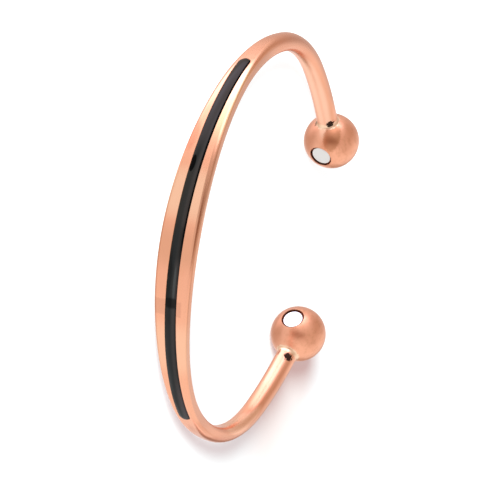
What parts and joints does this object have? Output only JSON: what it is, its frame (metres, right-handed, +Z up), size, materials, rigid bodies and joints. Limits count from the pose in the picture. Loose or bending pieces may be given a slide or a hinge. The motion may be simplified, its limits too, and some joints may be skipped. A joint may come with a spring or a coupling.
{
  "type": "open copper bangle with magnet ends",
  "caption": "Open C-shaped copper bangle with a wide forged front, a black strip let into the front's groove, and a ball with a small disc magnet at each end.",
  "frame": {"origin": "below the middle of the whole bangle's box, on the surface that the balls lie on", "axes": "+Z up and along the wrist that passes through the hollow, -Y out of the wide front, +Y out of the opening between the balls, +X to the right seen from the front"},
  "size_m": [0.073, 0.059, 0.01],
  "materials": {
    "copper": "satin copper, finely brushed, with soft brown tarnish",
    "black_strip": "semi-gloss black enamel or resin",
    "magnet_plating": "satin nickel plating"
  },
  "bodies": {
    "root": {"bangle": "copper", "inlay": "black_strip", "magnet_left": "magnet_plating", "magnet_right": "magnet_plating"}
  },
  "joints": []
}
